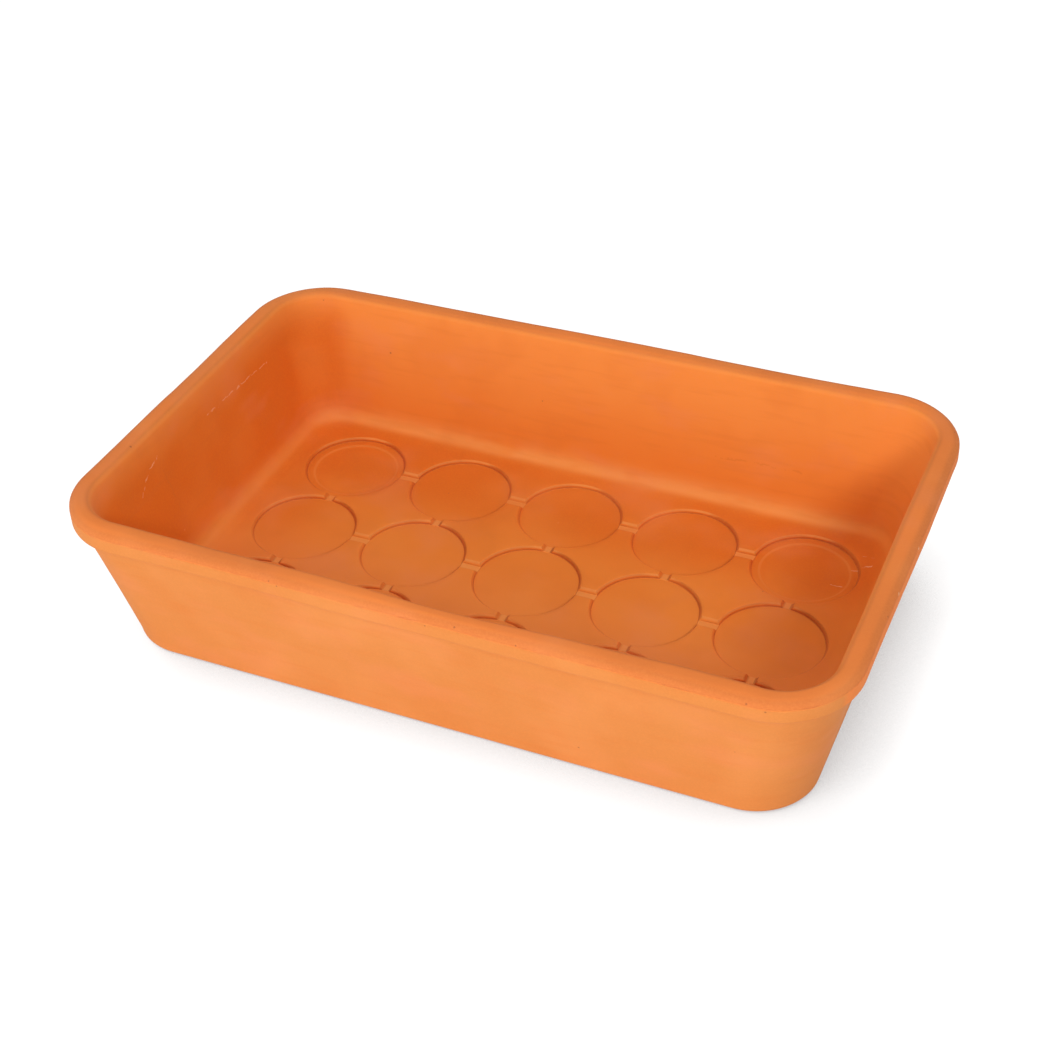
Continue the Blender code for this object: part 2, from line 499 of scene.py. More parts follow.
# Adds the tree as a modifier, with each input set through its socket's identifier.
# The input Pitch Along takes the value pitchAlong, and so on.
def useTree(piece, tree, values):
    modifier = piece.modifiers.new(tree.name, "NODES")
    modifier.node_group = tree
    for item in tree.interface.items_tree:
        key = item.name[0].lower() + item.name[1:].replace(" ", "")
        if item.in_out == "INPUT" and key in values:
            modifier[item.identifier] = values[key]


# Turns the piece and its modifiers into one plain mesh object
def asPlainMesh(piece, name):
    depsgraph = bpy.context.evaluated_depsgraph_get()
    mesh = bpy.data.meshes.new_from_object(piece.evaluated_get(depsgraph), depsgraph=depsgraph)
    mesh.name = name
    plain = newObject(name, mesh)
    rough = piece.data
    piece.modifiers.clear()
    bpy.data.objects.remove(piece)
    bpy.data.meshes.remove(rough)
    return plain


# The stamp's edge, from the land down to the seat: how far in, in mm, and the share of the depth
seatEdge = ((-0.15, 0.0), (0.0, 0.02), (0.25, 0.08), (0.50, 0.17), (0.75, 0.27), (0.98, 0.37),
            (1.06, 0.43), (1.12, 0.59), (1.18, 0.75), (1.26, 0.86), (1.42, 0.94), (1.60, 0.985), (1.75, 1.0))
perMetre = 1000
seatSlack = 0.1     # seats' numbers that are this close are the same


def stampTree():
    inputs = [("Geometry", "NodeSocketGeometry"), ("Columns", "NodeSocketInt"), ("Rows", "NodeSocketInt"),
              ("Shift", "NodeSocketVector"), ("Finish", "NodeSocketMaterial")]
    inputs += floatSockets("Pitch Along", "Pitch Across", "Diameter", "Depth", "Inner Ring", "Floor Height",
                           "Inner Ring Depth", "Channel Width", "Channel Depth", "Channel Back")
    outputs = [("Geometry", "NodeSocketGeometry")]
    tree, given, result = newGroup("stampFloor", "GeometryNodeTree", inputs, outputs)
    position = addNode(tree, "GeometryNodeInputPosition").outputs[0]
    place = split(tree, vectorMaths(tree, "SUBTRACT", position, given["Shift"]))

    # offset from the nearest seat's centre, whether the point lies between the end seats,
    # and how many seats before the last one it is
    def fromNearest(along, pitch, count):
        last = times(tree, minus(tree, count, 1.0), 0.5)
        half = maths(tree, "FRACT", last)
        cell = minus(tree, maths(tree, "DIVIDE", along, pitch), half)
        nearest = maths(tree, "MINIMUM", plus(tree, maths(tree, "ROUND", cell), half), last)
        nearest = maths(tree, "MAXIMUM", nearest, times(tree, last, -1.0))
        offset = minus(tree, along, times(tree, nearest, pitch))
        reach = times(tree, last, pitch)
        between = maths(tree, "LESS_THAN", maths(tree, "ABSOLUTE", along), reach)
        return offset, between, minus(tree, nearest, last)

    offsetX, betweenX, beforeEndX = fromNearest(place["X"], given["Pitch Along"], given["Columns"])
    offsetY, betweenY, beforeEndY = fromNearest(place["Y"], given["Pitch Across"], given["Rows"])
    squareX, squareY = (times(tree, offset, offset) for offset in (offsetX, offsetY))
    fromCentre = maths(tree, "SQRT", plus(tree, squareX, squareY))
    radius = times(tree, given["Diameter"], 0.5)
    inward = minus(tree, radius, fromCentre)
    edgeStart, edgeEnd = seatEdge[0][0] / perMetre, seatEdge[-1][0] / perMetre
    across = remap(tree, inward, edgeStart, edgeEnd, shape="LINEAR")
    edge = addNode(tree, "ShaderNodeFloatCurve")
    curve = edge.mapping.curves[0]
    curve.points[0].location = (0.0, 0.0)
    curve.points[1].location = (1.0, 1.0)
    for inset, drop in seatEdge[1:-1]:
        point = curve.points.new((inset / perMetre - edgeStart) / (edgeEnd - edgeStart), drop)
        point.handle_type = "AUTO_CLAMPED"
    edge.mapping.update()
    tree.links.new(across, edge.inputs["Value"])
    seatDrop = times(tree, edge.outputs["Value"], given["Depth"])

    # the second ring of the back corner seats: a faint step down, with a finer one inside it
    halfRow = times(tree, minus(tree, given["Columns"], 1.0), 0.5)
    fromMiddle = maths(tree, "ABSOLUTE", plus(tree, beforeEndX, halfRow))
    endColumn = maths(tree, "COMPARE", fromMiddle, halfRow, seatSlack)
    backRow = maths(tree, "COMPARE", beforeEndY, 0.0, seatSlack)
    steps = []
    for start, end, share in seatSizes["ringSteps"]:
        outer, inner = (minus(tree, given["Inner Ring"], inset) for inset in (start, end))
        steps.append(remap(tree, fromCentre, outer, inner, 0.0, share))
    ringDrop = times(tree, endColumn, backRow, plus(tree, *steps), given["Inner Ring Depth"])

    # a channel runs along each row and column of seats; the deeper seats swallow it where they lie
    def channelDrop(offset, between):
        halfWidth = times(tree, given["Channel Width"], 0.5)
        top = plus(tree, halfWidth, seatSizes["channelRound"])
        bottom = minus(tree, halfWidth, seatSizes["channelSlope"])
        shape = remap(tree, maths(tree, "ABSOLUTE", offset), top, bottom)
        return times(tree, shape, between, given["Channel Depth"])

    behind = minus(tree, offsetY, given["Channel Back"])
    channels = maths(tree, "MAXIMUM", channelDrop(behind, betweenX), channelDrop(offsetX, betweenY))
    drop = plus(tree, maths(tree, "MAXIMUM", seatDrop, channels), ringDrop)
    onFloor = maths(tree, "COMPARE", place["Z"], given["Floor Height"], levelSlack)
    stamped = times(tree, drop, onFloor)
    move = addNode(tree, "ShaderNodeCombineXYZ")
    tree.links.new(times(tree, stamped, -1.0), move.inputs["Z"])
    setPlace = addNode(tree, "GeometryNodeSetPosition")
    tree.links.new(move.outputs[0], setPlace.inputs["Offset"])
    store = addNode(tree, "GeometryNodeStoreNamedAttribute", data_type="FLOAT", domain="POINT")
    store.inputs["Name"].default_value = "stamped"
    tree.links.new(given["Geometry"], store.inputs["Geometry"])
    tree.links.new(maths(tree, "DIVIDE", stamped, given["Depth"]), store.inputs["Value"])
    tree.links.new(store.outputs["Geometry"], setPlace.inputs["Geometry"])
    endTree(tree, setPlace.outputs["Geometry"], given, result)
    return tree


# What firing and the mould leave: walls that sway a little, ripples, and a broken joint line on the lip.
# These all go into the clay, and the bow and the swell move only the front wall's inner side, so the tray
# never grows past its size.
claySizes = {
    # the front rim's inner edge bows outward, then swells inward: how far, the stretch's middle and reach
    "bow": (0.0024, 0.015, 0.075), "swell": (0.0012, 0.125, 0.045),
    "leanHeights": (0.03, 0.08), "leanWall": (-0.075, -0.100),      # where both start and are full
    "sway": 0.0007, "swaySize": 0.085,
    "ripple": 0.00018, "rippleSize": 0.022,
    "noiseRange": (0.25, 0.75), "noiseSteps": (0.0, 11.0, 23.0),
    "jointDepth": 0.00035, "jointReach": 0.0005, "jointGaps": 0.012, "jointBroken": (0.42, 0.56),
    "footKept": 0.006, "seed": 4.0,
}


def clayTree():
    inputs = [("Geometry", "NodeSocketGeometry"), ("Bow", "NodeSocketVector"), ("Swell", "NodeSocketVector"),
              ("Finish", "NodeSocketMaterial")]
    inputs += floatSockets("Sway", "Sway Size", "Ripple", "Ripple Size", "Joint Height", "Joint Depth",
                           "Joint Reach", "Joint Gaps", "Foot Kept", "Floor Height", "Seed")
    outputs = [("Geometry", "NodeSocketGeometry")]
    tree, given, result = newGroup("pressedClay", "GeometryNodeTree", inputs, outputs)
    position = addNode(tree, "GeometryNodeInputPosition").outputs[0]
    normal = addNode(tree, "GeometryNodeInputNormal").outputs[0]
    place = split(tree, position)
    seeds = [plus(tree, given["Seed"], step) for step in claySizes["noiseSteps"]]

    sway = noise(tree, position, given["Sway Size"], seeds[0], detail=0.0)
    ripple = noise(tree, position, given["Ripple Size"], seeds[1], detail=1.0)
    moves = []
    for value, amount in ((sway, given["Sway"]), (ripple, given["Ripple"])):
        spread = remap(tree, value, *claySizes["noiseRange"], shape="LINEAR")
        moves.append(times(tree, spread, amount))
    kept = remap(tree, place["Z"], 0.0, given["Foot Kept"])
    depth = times(tree, plus(tree, *moves), kept)

    # the joint line lies only where the surface looks away from the tray's middle
    level = addNode(tree, "ShaderNodeCombineXYZ")
    for axis in ("X", "Y"):
        tree.links.new(place[axis], level.inputs[axis])
    outward = maths(tree, "GREATER_THAN", vectorMaths(tree, "DOT_PRODUCT", normal, level.outputs[0]), 0.0)
    away = maths(tree, "ABSOLUTE", minus(tree, place["Z"], given["Joint Height"]))
    line = remap(tree, away, given["Joint Reach"], 0.0)
    broken = remap(tree, noise(tree, position, given["Joint Gaps"], seeds[2]), *claySizes["jointBroken"])
    joint = times(tree, line, broken, outward, given["Joint Depth"])
    depth = plus(tree, depth, joint)

    # the front wall's inner side leans out or in along a stretch, most at the rim
    insideMask = addNode(tree, "GeometryNodeInputNamedAttribute", data_type="FLOAT")
    insideMask.inputs["Name"].default_value = "inside"
    inside = insideMask.outputs["Attribute"]
    upper = remap(tree, place["Z"], *claySizes["leanHeights"])
    front = remap(tree, place["Y"], *claySizes["leanWall"])
    leans = []
    for stretch in ("Bow", "Swell"):
        values = split(tree, given[stretch])
        fromMiddle = maths(tree, "ABSOLUTE", minus(tree, place["X"], values["Y"]))
        fade = remap(tree, fromMiddle, values["Z"], 0.0)
        leans.append(times(tree, fade, values["X"]))
    lean = minus(tree, leans[1], leans[0])
    aside = addNode(tree, "ShaderNodeCombineXYZ")
    reach = times(tree, upper, front, inside)
    tree.links.new(times(tree, lean, reach), aside.inputs["Y"])

    # the floor moves straight down, so that the stamp's edges stay clean
    floorTop = plus(tree, given["Floor Height"], levelSlack)
    onFloor = times(tree, maths(tree, "LESS_THAN", place["Z"], floorTop), inside)
    way = addNode(tree, "ShaderNodeMix", data_type="VECTOR")
    feed(tree, way.inputs[0], onFloor)
    feed(tree, way.inputs[4], normal)       # 4, 5 and output 1 are the node's vector sockets
    feed(tree, way.inputs[5], (0.0, 0.0, 1.0))
    into = scaled(tree, way.outputs[1], times(tree, depth, -1.0))
    setPlace = addNode(tree, "GeometryNodeSetPosition")
    tree.links.new(given["Geometry"], setPlace.inputs["Geometry"])
    tree.links.new(vectorMaths(tree, "ADD", into, aside.outputs[0]), setPlace.inputs["Offset"])
    endTree(tree, setPlace.outputs["Geometry"], given, result)
    return tree


# Colours and finish of the fired clay: dustier outside, deeper inside
clayFinish = {
    "outside": (0.680, 0.218, 0.038, 1.0),
    "rim": (0.86, 0.212, 0.030, 1.0),
    # painted shade on the rim's outer rounding
    "rimEdge": (0.62, 0.160, 0.026, 1.0),
    "inside": (0.82, 0.212, 0.017, 1.0),
    # the next three are painted light and shade: paler upper inner walls, a deeper orange shade, and a
    # paler, pinker lit floor front
    "innerTop": (0.84, 0.250, 0.036, 1.0),
    "burnt": (0.73, 0.148, 0.001, 1.0),
    "innerPink": (0.84, 0.232, 0.040, 1.0),
    # pale dust on a few spots, and also the painted highlight on the coves and on the stamp's edges,
    # channels and rings
    "dusty": (0.90, 0.35, 0.085, 1.0),
    "pale": (0.88, 0.33, 0.10, 1.0),
    "paleInside": (0.88, 0.29, 0.045, 1.0),
    "deep": (0.66, 0.155, 0.012, 1.0),
    # painted shade at the stamp's creases and on its edges that face left or right
    "crease": (0.40, 0.070, 0.004, 1.0),
    "pink": (0.80, 0.240, 0.085, 1.0),
    "speck": (0.30, 0.075, 0.02, 1.0),
    "chalk": (0.92, 0.54, 0.29, 1.0),
    "joint": (0.50, 0.120, 0.035, 1.0),
    "roughness": (0.76, 0.90),      # in the grain's hollows and on its tops
}

# Each tint's share, then what it follows, and where along that it starts and is full. X, Y and Z are
# places on the tray, facing is the way its surface looks, and stamped is the share of a seat's depth.
clayZones = {
    # painted light and shade: paler upper walls and floor front where light falls, deeper orange shade on
    # the left wall and the back and left of the floor
    "upperWalls": (1.0, ("Z", 0.02, 0.07)),
    "leftWall": (1.0, ("Z", 0.082, 0.062), ("X", -0.142, -0.160)),
    "floorBack": (1.0, ("Z", 0.013, 0.0105), ("Y", 0.020, 0.060)),
    "floorLeft": (0.70, ("Z", 0.013, 0.0105), ("X", -0.110, -0.140)),
    "floorFront": (1.0, ("Z", 0.014, 0.011), ("Y", 0.020, -0.050)),
    # the coves are paler: a painted highlight
    "backCove": (0.65, ("Z", 0.0100, 0.0130), ("Z", 0.024, 0.013), ("Y", 0.066, 0.096),
                 ("X", 0.172, 0.128)),
    "leftCove": (0.30, ("Z", 0.0103, 0.0125), ("Z", 0.023, 0.013), ("X", -0.148, -0.160)),
    "facesLeft": (1.0, ("facingX", -0.08, -0.30)),
    # painted highlight: shoulder, channel and secondRing; painted shade: crease, leftEdges and rightEdges
    "shoulder": (0.55, ("facingY", -0.06, -0.28), ("stamped", 0.02, 0.12), ("stamped", 0.50, 0.34),
                 ("facesLeft", 1.0, 0.0)),
    "channel": (0.50, ("fromChannel", 0.05, 0.02)),
    "secondRing": (0.22, ("stamped", 1.01, 1.05), ("stamped", 1.26, 1.16)),
    "crease": (0.75, ("stamped", 0.63, 0.70), ("stamped", 1.0, 0.96), ("facingZ", 0.80, 0.60)),
    "leftEdges": (0.60, ("facingX", -0.08, -0.30), ("stamped", 0.02, 0.20), ("stamped", 1.0, 0.97)),
    "rightEdges": (0.36, ("facingX", 0.10, 0.32), ("stamped", 0.02, 0.20), ("stamped", 1.0, 0.97)),
    "acrossRim": (1.0, ("inside", 0.02, 0.12)),
    # painted light: the right lip's face takes the brighter rim colour
    "lipRight": (1.0, ("X", 0.1840, 0.1865), ("Z", 0.070, 0.073)),
    "aboveJoint": (1.0, ("Z", 0.0782, 0.0794)),
    # painted shade: the rim's outer rounding, from the joint line up to the top, is darker
    "rimEdge": (0.85, ("Z", 0.0782, 0.0794), ("Z", 0.0825, 0.0812)),
    "innerClay": (1.0, ("inside", 0.80, 1.0)),
    "joint": (1.0, ("fromJoint", 0.0006, 0.0001), ("inside", 0.30, 0.10)),
    "nearJoint": (1.0, ("fromJoint", 0.0050, 0.0010), ("inside", 0.30, 0.10)),
}

# Blotches and streaks all over: their share and colour, and the noise they come from
patches = (
    (0.22, "pale", {"Stretch": (1.0, 1.0, 1.0), "Size": 0.050, "Low": 0.45, "High": 0.70, "Seed": 1.0}),
    (0.22, "deep", {"Stretch": (1.0, 1.0, 1.0), "Size": 0.032, "Low": 0.48, "High": 0.72, "Seed": 2.0}),
    (0.28, "pink", {"Stretch": (2.0, 2.0, 1.0), "Size": 0.022, "Low": 0.50, "High": 0.72, "Seed": 6.0}),
    (0.16, "deep", {"Stretch": (9.0, 9.0, 1.0), "Size": 0.004, "Low": 0.50, "High": 0.70, "Seed": 3.0}),
)
# The same kind of noise breaks up the painted highlight in the back cove, and the joint line
coveHighlightNoise = {"Stretch": (3.0, 1.0, 1.0), "Size": 0.012, "Low": 0.22, "High": 0.50, "Seed": 8.0}
jointGaps = {"Stretch": (3.0, 3.0, 1.0), "Size": 0.0020, "Low": 0.50, "High": 0.62, "Seed": 9.0}

# The clay's skin: its grain and pits, how far scratches wander and break, and how much stands in relief
claySkin = {
    "grainSize": 0.0011, "seed": 5.0, "paleGrain": (0.35, 0.70), "paleShare": 0.16,
    "pitSpacing": 0.0045, "pitSize": 0.0006, "smallestPit": 0.4, "pitDark": 0.65,
    "pitShare": 0.012, "pitShareAtJoint": 0.50, "jointDark": 0.20,
    "driftScale": 260.0, "driftDetail": 2.0, "driftReach": 0.0035, "driftBreaks": (0.40, 0.52),
    "markFlatness": 0.12, "roughGrain": (0.3, 0.7),
    "grainRelief": 0.25, "jointRelief": 0.8, "bumpDistance": 0.00012, "bumpStrength": 0.8,
}

# The share of a mark's size within which it is at full strength
markCores = {"pit": 0.35, "scratch": 0.30, "spot": 0.40}

# Marks of handling: each scratch's ends, its width, colour and strength, and the axis it lies across
scratches = (
    ((0.1412, 0.0533, 0.0083), (0.1467, 0.0538, 0.0083), 0.00045, "chalk", 0.75, "Z"),
    ((0.1481, 0.0665, 0.010), (0.1565, 0.0706, 0.010), 0.00050, "chalk", 0.80, "Z"),
    ((0.1509, 0.0772, 0.010), (0.1558, 0.0778, 0.010), 0.00040, "chalk", 0.55, "Z"),
    ((-0.1742, 0.0622, 0.0620), (-0.1747, 0.0037, 0.0646), 0.00050, "chalk", 0.45, "X"),
    ((-0.1755, -0.041, 0.0685), (-0.1746, -0.0527, 0.0638), 0.00040, "chalk", 0.55, "X"),
    ((-0.1746, -0.0527, 0.0638), (-0.1729, -0.0621, 0.0557), 0.00040, "chalk", 0.45, "X"),
    ((-0.1669, -0.0408, 0.0267), (-0.1662, -0.0414, 0.0229), 0.00040, "chalk", 0.55, "X"),
    ((-0.1735, -0.0405, 0.0587), (-0.1684, -0.0383, 0.0338), 0.00045, "deep", 0.50, "X"),
    ((0.0658, 0.0986, 0.0350), (0.1153, 0.0989, 0.0365), 0.00080, "deep", 0.38, "Y"),
)

# Small round spots: where each lies, its size, colour and strength
spots = (
    ((0.1893, 0.0045, 0.0790), 0.0009, "chalk", 0.9),
    ((0.1893, -0.0299, 0.0790), 0.0008, "chalk", 0.9),
    ((-0.0034, 0.0525, 0.0083), 0.0016, "dusty", 0.7),
    ((0.0605, 0.0525, 0.0083), 0.0014, "dusty", 0.5),
    ((-0.0031, 0.0863, 0.0100), 0.0005, "speck", 0.9),
    ((-0.1698, 0.0314, 0.0407), 0.0012, "dusty", 0.7),
    ((-0.1666, -0.0414, 0.0253), 0.0012, "dusty", 0.7),
    ((0.1847, -0.1023, 0.0800), 0.0022, "joint", 0.35),
    ((0.1895, -0.0882, 0.0790), 0.0016, "joint", 0.35),
)


# Soft blotches: a mask from 0 to 1, stretched along an axis where the clay was dragged
def mottleGroup():
    inputs = [("Vector", "NodeSocketVector"), ("Stretch", "NodeSocketVector")]
    inputs += floatSockets("Size", "Low", "High", "Seed")
    tree, given, result = newGroup("clayMottle", "ShaderNodeTree", inputs, floatSockets("Mask"))
    stretched = vectorMaths(tree, "DIVIDE", given["Vector"], given["Stretch"])
    value = noise(tree, stretched, given["Size"], given["Seed"], roughness=0.55)
    tree.links.new(remap(tree, value, given["Low"], given["High"]), result["Mask"])
    return tree


# Fine grain of the clay, with sparse round pits
def grainGroup():
    inputs = [("Vector", "NodeSocketVector")]
    inputs += floatSockets("Size", "Pit Spacing", "Pit Size", "Pit Share", "Seed")
    tree, given, result = newGroup("clayGrain", "ShaderNodeTree", inputs, floatSockets("Grain", "Pits"))
    fine = noise(tree, given["Vector"], given["Size"], given["Seed"], detail=3.0, roughness=0.6)
    tree.links.new(fine, result["Grain"])
    cells = addNode(tree, "ShaderNodeTexVoronoi", voronoi_dimensions="3D")
    tree.links.new(given["Vector"], cells.inputs["Vector"])
    feed(tree, cells.inputs["Scale"], maths(tree, "DIVIDE", 1.0, given["Pit Spacing"]))
    away = times(tree, cells.outputs["Distance"], given["Pit Spacing"])
    pick = addNode(tree, "ShaderNodeSeparateColor")
    tree.links.new(cells.outputs["Color"], pick.inputs["Color"])
    chosen = maths(tree, "LESS_THAN", pick.outputs["Red"], given["Pit Share"])
    largeness = plus(tree, claySkin["smallestPit"], pick.outputs["Green"])
    reach = times(tree, given["Pit Size"], largeness)
    pits = remap(tree, away, reach, times(tree, reach, markCores["pit"]))
    tree.links.new(times(tree, pits, chosen), result["Pits"])
    return tree


# A hairline mark between two points of the wandering place that it is given
def hairlineGroup():
    inputs = [(label, "NodeSocketVector") for label in ("Vector", "Start", "End", "Flatten")]
    inputs += floatSockets("Width")
    tree, given, result = newGroup("clayHairline", "ShaderNodeTree", inputs, floatSockets("Mask"))

    def fromStartTo(point):
        offset = vectorMaths(tree, "SUBTRACT", point, given["Start"])
        return vectorMaths(tree, "MULTIPLY", offset, given["Flatten"])

    span, fromStart = fromStartTo(given["End"]), fromStartTo(given["Vector"])
    along = maths(tree, "DIVIDE", vectorMaths(tree, "DOT_PRODUCT", fromStart, span),
                  vectorMaths(tree, "DOT_PRODUCT", span, span))
    clamped = maths(tree, "MINIMUM", maths(tree, "MAXIMUM", along, 0.0), 1.0)
    foot = scaled(tree, span, clamped)
    away = vectorMaths(tree, "LENGTH", vectorMaths(tree, "SUBTRACT", fromStart, foot))
    core = times(tree, given["Width"], markCores["scratch"])
    tree.links.new(remap(tree, away, given["Width"], core), result["Mask"])
    return tree


# A soft round spot about a point
def spotGroup():
    inputs = [("Vector", "NodeSocketVector"), ("Centre", "NodeSocketVector")] + floatSockets("Size")
    tree, given, result = newGroup("claySpot", "ShaderNodeTree", inputs, floatSockets("Mask"))
    away = vectorMaths(tree, "LENGTH", vectorMaths(tree, "SUBTRACT", given["Vector"], given["Centre"]))
    core = times(tree, given["Size"], markCores["spot"])
    tree.links.new(remap(tree, away, given["Size"], core), result["Mask"])
    return tree


mottle, grain, hairline, spot = mottleGroup(), grainGroup(), hairlineGroup(), spotGroup()


def useGroup(tree, group, values):
    node = addNode(tree, "ShaderNodeGroup", node_tree=group)
    for name, value in values.items():
        feed(tree, node.inputs[name], value)
    return node.outputs


def mixColours(tree, share, under, over):
    node = addNode(tree, "ShaderNodeMix", data_type="RGBA")
    feed(tree, node.inputs[0], share)
    feed(tree, node.inputs[6], under)       # 6, 7 and output 2 are the node's colour sockets
    feed(tree, node.inputs[7], over)
    return node.outputs[2]


def terracotta():
    material = bpy.data.materials.new("terracotta")
    material.use_nodes = True
    tree = material.node_tree
    shader = tree.nodes["Principled BSDF"]
    coordinates = addNode(tree, "ShaderNodeTexCoord").outputs
    place = coordinates["Object"]
    follows = {}
    for name in ("inside", "stamped"):
        follows[name] = addNode(tree, "ShaderNodeAttribute", attribute_name=name).outputs["Fac"]
    for name, source in (("", place), ("facing", coordinates["Normal"])):
        axes = split(tree, source)
        for axis in "XYZ":
            follows[name + axis] = axes[axis]
    channelLevel = seatSizes["channelDepth"] / seatSizes["depth"]
    for name, value, level in (("fromJoint", "Z", jointHeight), ("fromChannel", "stamped", channelLevel)):
        follows[name] = maths(tree, "ABSOLUTE", minus(tree, follows[value], level))

    # 0 outside a zone, and its share where all its ramps are full
    def zone(name):
        share, *ramps = clayZones[name]
        masks = [remap(tree, follows[value], start, full) for value, start, full in ramps]
        return times(tree, *masks, share)

    def blotches(values):
        return useGroup(tree, mottle, {"Vector": place, **values})["Mask"]

    def part(share, mask):
        return times(tree, mask, share)

    def tint(under, mask, name):
        return mixColours(tree, mask, under, colours[name])

    follows["facesLeft"] = zone("facesLeft")
    colours = dict(clayFinish)
    colours["pale"] = mixColours(tree, follows["inside"], clayFinish["pale"], clayFinish["paleInside"])

    # painted light and shade: the upper walls paler and the floor's front paler and pinker where light
    # falls, the left wall and the back and left of the floor a deeper, darker orange where shade falls
    innerColour = tint(colours["inside"], zone("upperWalls"), "innerTop")
    burnt = maths(tree, "MAXIMUM", zone("leftWall"), zone("floorBack"), zone("floorLeft"))
    innerColour = tint(innerColour, burnt, "burnt")
    innerColour = tint(innerColour, zone("floorFront"), "innerPink")
    # painted highlight: the back cove and the left cove are paler
    backCove = times(tree, zone("backCove"), blotches(coveHighlightNoise))
    innerColour = tint(innerColour, maths(tree, "MAXIMUM", backCove, zone("leftCove")), "dusty")
    # painted highlight: the stamp's edges that face the front, its channels and second rings are paler;
    # painted shade: the edges that face left, less so those that face right, and the creases at all their
    # feet are darker
    paintedHighlight = maths(tree, "MAXIMUM", zone("shoulder"), zone("channel"), zone("secondRing"))
    darker = maths(tree, "MAXIMUM", zone("crease"), zone("leftEdges"), zone("rightEdges"))
    innerColour = tint(innerColour, paintedHighlight, "dusty")
    innerColour = tint(innerColour, darker, "crease")
    # painted shade: the rim's outer rounding is darker
    rimColour = tint(colours["rim"], zone("rimEdge"), "rimEdge")
    # the right lip's share is painted light, a brighter rim colour on its face
    rimShare = maths(tree, "MAXIMUM", zone("acrossRim"), zone("lipRight"), zone("aboveJoint"))
    colour = mixColours(tree, rimShare, colours["outside"], rimColour)
    colour = mixColours(tree, zone("innerClay"), colour, innerColour)
    for share, name, values in patches:
        colour = tint(colour, part(share, blotches(values)), name)

    # the mould's joint line on the lip: broken, rubbed darker, with more pits near it
    dashes = times(tree, zone("joint"), blotches(jointGaps))
    pitShare = remap(tree, zone("nearJoint"), 0.0, 1.0, claySkin["pitShare"], claySkin["pitShareAtJoint"])
    skin = useGroup(tree, grain, {
        "Vector": place, "Size": claySkin["grainSize"], "Seed": claySkin["seed"], "Pit Share": pitShare,
        "Pit Spacing": claySkin["pitSpacing"], "Pit Size": claySkin["pitSize"],
    })
    paleGrain = remap(tree, skin["Grain"], *claySkin["paleGrain"], 0.0, claySkin["paleShare"])
    colour = tint(colour, paleGrain, "pale")
    colour = tint(colour, part(claySkin["jointDark"], dashes), "joint")
    # the pits are also tinted dark: painted shade in their dents, besides their bump
    colour = tint(colour, part(claySkin["pitDark"], skin["Pits"]), "speck")

    # scratches wander together and break where the same noise is low
    drift = addNode(tree, "ShaderNodeTexNoise", noise_dimensions="3D")
    tree.links.new(place, drift.inputs["Vector"])
    drift.inputs["Scale"].default_value = claySkin["driftScale"]
    drift.inputs["Detail"].default_value = claySkin["driftDetail"]
    centred = vectorMaths(tree, "SUBTRACT", drift.outputs["Color"], (0.5, 0.5, 0.5))
    wandering = vectorMaths(tree, "ADD", place, scaled(tree, centred, claySkin["driftReach"]))
    broken = remap(tree, drift.outputs["Fac"], *claySkin["driftBreaks"])
    for start, end, width, name, strength, across in scratches:
        flatten = [claySkin["markFlatness"] if axis == across else 1.0 for axis in "XYZ"]
        line = useGroup(tree, hairline, {"Vector": wandering, "Start": start, "End": end, "Flatten": flatten,
                                         "Width": width})["Mask"]
        colour = tint(colour, part(strength, part(broken, line)), name)
    for centre, size, name, strength in spots:
        mark = useGroup(tree, spot, {"Vector": wandering, "Centre": centre, "Size": size})["Mask"]
        colour = tint(colour, part(strength, mark), name)
    tree.links.new(colour, shader.inputs["Base Color"])

    roughness = remap(tree, skin["Grain"], *claySkin["roughGrain"], *clayFinish["roughness"])
    tree.links.new(roughness, shader.inputs["Roughness"])
    relief = minus(tree, part(claySkin["grainRelief"], skin["Grain"]), skin["Pits"])
    relief = minus(tree, relief, part(claySkin["jointRelief"], dashes))
    bump = addNode(tree, "ShaderNodeBump")
    bump.inputs["Distance"].default_value = claySkin["bumpDistance"]
    bump.inputs["Strength"].default_value = claySkin["bumpStrength"]
    tree.links.new(relief, bump.inputs["Height"])
    tree.links.new(bump.outputs["Normal"], shader.inputs["Normal"])
    return material


def seedTray():
    clay = terracotta()
    tray = plainTray()
    fixed = {"floorHeight": traySizes["floor"], "jointHeight": jointHeight, "finish": clay}
    shift = (seatSizes["shiftAlong"], seatSizes["shiftAcross"], 0.0)
    useTree(tray, stampTree(), {**seatSizes, **fixed, "shift": shift})
    useTree(tray, clayTree(), {**claySizes, **fixed})
    tray = asPlainMesh(tray, "trayBody")
    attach(tray, "root")
    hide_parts("seed_tray")
    print("tray:", sum(len(face.vertices) - 2 for face in tray.data.polygons), "triangles")


# The camera stands in front, to the right and above, and is turned a little on its own axis
cameraSetup = {
    "azimuth": 25.066, "elevation": 37.226, "roll": -2.654,
    "lens": 62.074, "sensor": 36.0, "distance": 0.87573, "aim": (0.0011, 0.00247, 0.04233),
}


def addCamera():
    azimuth, elevation, roll = (math.radians(cameraSetup[name]) for name in ("azimuth", "elevation", "roll"))
    level = Vector((math.cos(azimuth), math.sin(azimuth), 0))
    away = Vector((math.sin(azimuth), -math.cos(azimuth), 0))
    back = away * math.cos(elevation) + Vector((0, 0, math.sin(elevation)))
    upright = back.cross(level)
    right = level * math.cos(roll) + upright * math.sin(roll)
    up = upright * math.cos(roll) - level * math.sin(roll)
    turn = Matrix((right, up, back)).transposed().to_4x4()
    data = bpy.data.cameras.new("photoCamera")
    data.lens = cameraSetup["lens"]
    data.sensor_width = cameraSetup["sensor"]
    camera = newObject("photoCamera", data)
    stand = Vector(cameraSetup["aim"]) + back * cameraSetup["distance"]
    camera.matrix_world = Matrix.Translation(stand) @ turn
    bpy.context.scene.camera = camera


